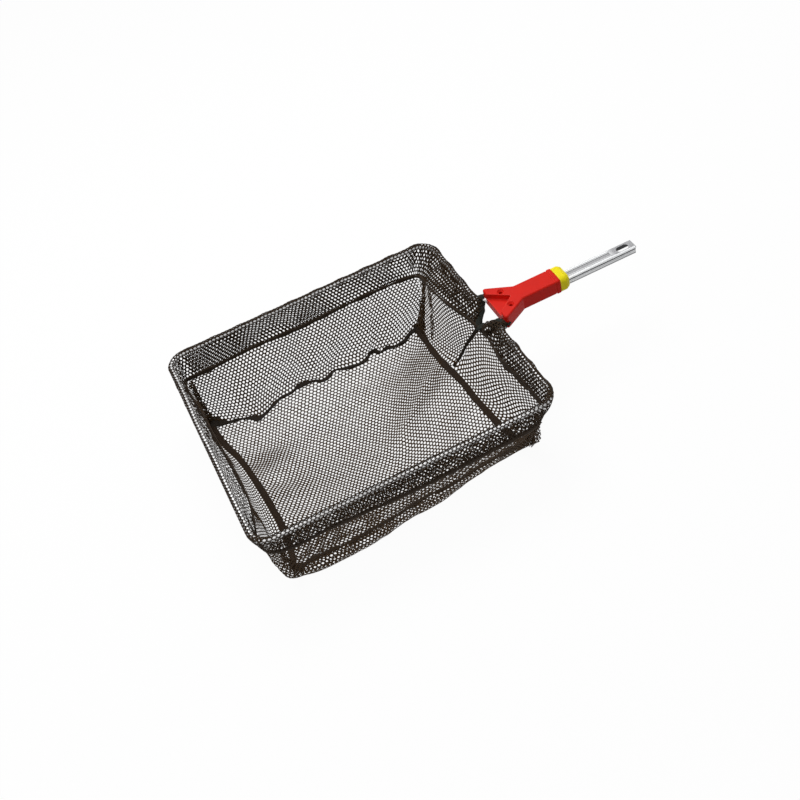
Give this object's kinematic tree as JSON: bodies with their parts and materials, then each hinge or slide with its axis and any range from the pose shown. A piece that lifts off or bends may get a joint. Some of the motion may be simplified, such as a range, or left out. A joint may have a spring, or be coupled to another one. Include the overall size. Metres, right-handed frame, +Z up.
{
  "type": "leaf skimmer net",
  "caption": "Leaf skimmer net: rectangular rod rim, deep sewn mesh bag with a flat floor, and a moulded socket with a steel tang that clicks into a long handle.",
  "frame": {"origin": "middle of the underside of the bag's floor, where the net rests", "axes": "+X from the toe of the rim to the tip of the tang, +Z up through the bag's mouth, +Y to the far side"},
  "size_m": [0.59, 0.351, 0.1228],
  "materials": {
    "rod_steel": "satin",
    "mesh": "matte",
    "tape": "matte",
    "binding": "matte",
    "socket_red": "satin",
    "collar_yellow": "satin",
    "tang_steel": "satin"
  },
  "bodies": {
    "root": {"rim_rod": "rod_steel", "hem_casing": "mesh", "hem_seam": "binding", "notch_binding_far": "binding", "notch_binding_near": "binding", "wall_far": "mesh", "wall_near": "mesh", "wall_toe": "mesh", "wall_handle_far": "mesh", "wall_handle_near": "mesh", "closing_seam": "tape", "corner_fold_far_toe": "mesh", "corner_fold_far_handle": "mesh", "corner_fold_near_toe": "mesh", "corner_fold_near_handle": "mesh", "floor_net": "mesh", "floor_tape_toe": "tape", "floor_tape_handle": "tape", "floor_seam_far": "tape", "floor_seam_near": "tape", "socket": "socket_red", "collar": "collar_yellow", "tang": "tang_steel"}
  },
  "joints": []
}
